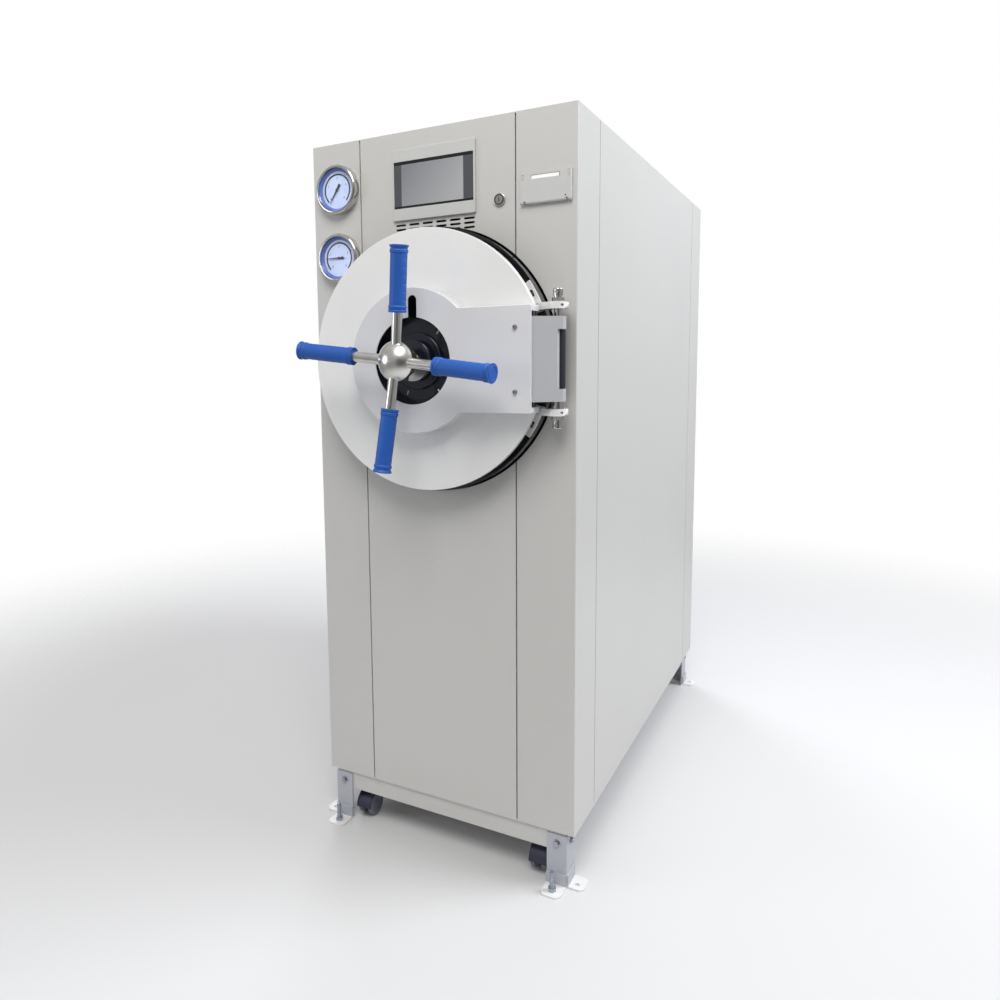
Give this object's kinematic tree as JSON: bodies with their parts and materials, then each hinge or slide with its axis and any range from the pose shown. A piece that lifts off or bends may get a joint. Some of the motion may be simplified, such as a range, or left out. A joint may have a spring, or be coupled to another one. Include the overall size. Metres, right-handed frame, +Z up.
{
  "type": "horizontal autoclave",
  "caption": "Horizontal cylindrical steam sterilizer in a tall sheet metal cabinet, with a round hinged door and a spoked handwheel.",
  "frame": {"origin": "on the floor, in the middle of the anchor holes of the feet, which is below the middle of the cabinet", "axes": "+Z up, +Y from the door towards the rear, +X to the right when facing the door"},
  "size_m": [0.692, 1.5013, 1.65],
  "materials": {
    "cabinet_paint": "satin powder coat",
    "frame_paint": "satin paint",
    "door_paint": "gloss paint",
    "arm_paint": "satin paint",
    "ring_paint": "gloss paint",
    "hub_paint": "gloss paint",
    "vessel_steel": "satin",
    "zinc_steel": "zinc plated",
    "polished_steel": "polished",
    "seal_rubber": "matte",
    "caster_plastic": "matte",
    "wheel_plastic": "satin",
    "grip_plastic": "gloss",
    "dial_face": "matte",
    "clear_glass": "clear",
    "screen_plastic": "satin",
    "display_plastic": "gloss",
    "printer_plastic": "satin"
  },
  "bodies": {
    "cabinet": {"base_frame": "frame_paint", "door_gasket": "seal_rubber", "front_left_panel": "cabinet_paint", "front_lower_panel": "cabinet_paint", "front_right_panel": "cabinet_paint", "front_upper_panel": "cabinet_paint", "gauge_cases": "polished_steel", "gauge_dials": "dial_face", "gauge_glasses": "clear_glass", "hinge_brackets": "door_paint", "hinge_pin": "zinc_steel", "key_lock_case": "polished_steel", "leg_front_left": "frame_paint", "leg_front_right": "frame_paint", "leg_rear_left": "frame_paint", "leg_rear_right": "frame_paint", "printer_housing": "printer_plastic", "rear_left_panel": "cabinet_paint", "rear_panel": "cabinet_paint", "rear_right_panel": "cabinet_paint", "screen_bezel": "screen_plastic", "screen_glass": "display_plastic", "side_panel_left": "cabinet_paint", "side_panel_right": "cabinet_paint", "top_panel": "cabinet_paint", "vessel_cradles": "frame_paint", "vessel_flange": "ring_paint", "vessel_shell": "vessel_steel"},
    "door": {"door_lid": "vessel_steel", "locking_bars": "zinc_steel", "door_cover": "door_paint", "arm_cover": "door_paint", "door_arm": "arm_paint", "hinge_cover": "door_paint", "lock_hub": "hub_paint"},
    "handwheel": {"wheel_spider": "polished_steel", "wheel_grips": "grip_plastic"},
    "printer_lid": {"printer_cover": "printer_plastic"},
    "key": {"key_plug": "polished_steel"},
    "front_left_caster": {"caster_front_left_fork": "caster_plastic"},
    "front_left_caster_wheels": {"caster_front_left_wheel": "wheel_plastic"},
    "front_right_caster": {"caster_front_right_fork": "caster_plastic"},
    "front_right_caster_wheels": {"caster_front_right_wheel": "wheel_plastic"},
    "rear_left_caster": {"caster_rear_left_fork": "caster_plastic"},
    "rear_left_caster_wheels": {"caster_rear_left_wheel": "wheel_plastic"},
    "rear_right_caster": {"caster_rear_right_fork": "caster_plastic"},
    "rear_right_caster_wheels": {"caster_rear_right_wheel": "wheel_plastic"}
  },
  "joints": [
    {"name": "door_swing", "type": "hinge", "parent": "cabinet", "child": "door", "pos_m": [0.3, -0.667, 1.151], "axis": [0, 0, 1], "range_deg": [0, 120]},
    {"name": "handwheel_spin", "type": "hinge", "parent": "door", "child": "handwheel", "pos_m": [0, -0.791, 1.151], "axis": [0, -1, 0], "continuous": true},
    {"name": "printer_cover_swing", "type": "hinge", "parent": "cabinet", "child": "printer_lid", "pos_m": [0.26, -0.63, 1.4672], "axis": [1, 0, 0], "range_deg": [0, 90]},
    {"name": "key_turn", "type": "hinge", "parent": "cabinet", "child": "key", "pos_m": [0.15603, -0.625, 1.4805], "axis": [0, -1, 0], "range_deg": [0, 90]},
    {"name": "front_left_caster_swivel", "type": "hinge", "parent": "cabinet", "child": "front_left_caster", "pos_m": [-0.235, -0.563, 0.079], "axis": [0, 0, 1], "continuous": true},
    {"name": "front_left_caster_roll", "type": "hinge", "parent": "front_left_caster", "child": "front_left_caster_wheels", "pos_m": [-0.235, -0.581, 0.03], "axis": [1, 0, 0], "continuous": true},
    {"name": "front_right_caster_swivel", "type": "hinge", "parent": "cabinet", "child": "front_right_caster", "pos_m": [0.235, -0.563, 0.079], "axis": [0, 0, 1], "continuous": true},
    {"name": "front_right_caster_roll", "type": "hinge", "parent": "front_right_caster", "child": "front_right_caster_wheels", "pos_m": [0.235, -0.581, 0.03], "axis": [1, 0, 0], "continuous": true},
    {"name": "rear_left_caster_swivel", "type": "hinge", "parent": "cabinet", "child": "rear_left_caster", "pos_m": [-0.235, 0.563, 0.079], "axis": [0, 0, 1], "continuous": true},
    {"name": "rear_left_caster_roll", "type": "hinge", "parent": "rear_left_caster", "child": "rear_left_caster_wheels", "pos_m": [-0.235, 0.581, 0.03], "axis": [1, 0, 0], "continuous": true},
    {"name": "rear_right_caster_swivel", "type": "hinge", "parent": "cabinet", "child": "rear_right_caster", "pos_m": [0.235, 0.563, 0.079], "axis": [0, 0, 1], "continuous": true},
    {"name": "rear_right_caster_roll", "type": "hinge", "parent": "rear_right_caster", "child": "rear_right_caster_wheels", "pos_m": [0.235, 0.581, 0.03], "axis": [1, 0, 0], "continuous": true}
  ]
}
